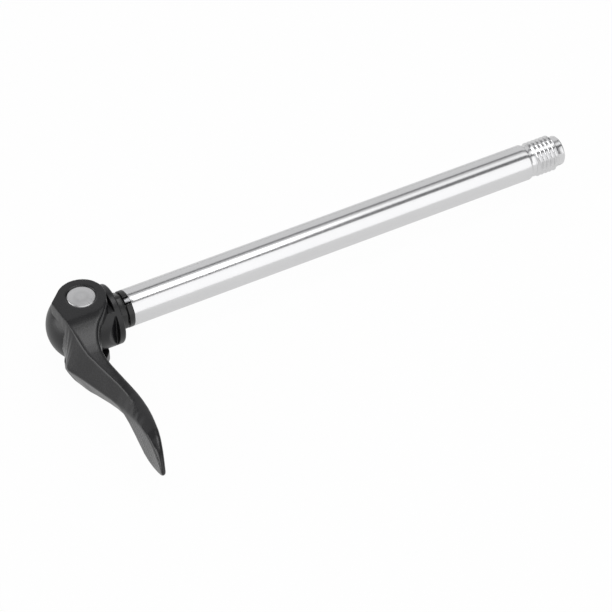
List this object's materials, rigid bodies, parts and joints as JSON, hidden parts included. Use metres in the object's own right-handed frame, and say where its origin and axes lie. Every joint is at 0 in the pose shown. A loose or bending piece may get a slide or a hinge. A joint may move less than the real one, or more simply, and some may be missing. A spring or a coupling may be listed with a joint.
{
  "type": "bicycle thru axle",
  "caption": "Rear bicycle thru axle with a threaded end and a quick-release cam lever on a black housing.",
  "frame": {"origin": "centre of the axle shaft's head end, on the axle axis, where the notched ring meets it", "axes": "+X along the axle towards its thread, +Z along the cam pin towards its bare turned end, lever closed towards -Y"},
  "size_m": [0.1855, 0.078, 0.024],
  "materials": {
    "silver_anodised": "satin",
    "black_forged": "satin black anodised",
    "turned_steel": "turned",
    "black_steel": "blackened",
    "bush": "satin"
  },
  "bodies": {
    "axle_body": {"axle": "silver_anodised", "index_ring": "black_steel", "lock_washer": "black_steel", "lock_nut": "black_steel", "draw_stem": "turned_steel", "disc_spring": "black_steel"},
    "housing": {"cam_housing": "black_forged", "guide_bush": "bush", "upper_bush": "bush", "lower_bush": "bush"},
    "lever_body": {"lever": "black_forged", "cam_pin": "turned_steel", "upper_washer": "black_steel", "lower_washer": "black_steel", "pin_screw": "black_steel"}
  },
  "joints": [
    {"name": "housing_slide", "type": "slide", "parent": "axle_body", "child": "housing", "axis": [-1, 0, 0], "range_m": [0, 0.0012]},
    {"name": "lever_swing", "type": "hinge", "parent": "housing", "child": "lever_body", "pos_m": [-0.015, 0, 0], "axis": [0, 0, -1], "range_deg": [0, 130]}
  ],
  "couplings": [
    {"joint": "housing_slide", "follows": "lever_swing", "m_per_rad": 0.000507}
  ]
}
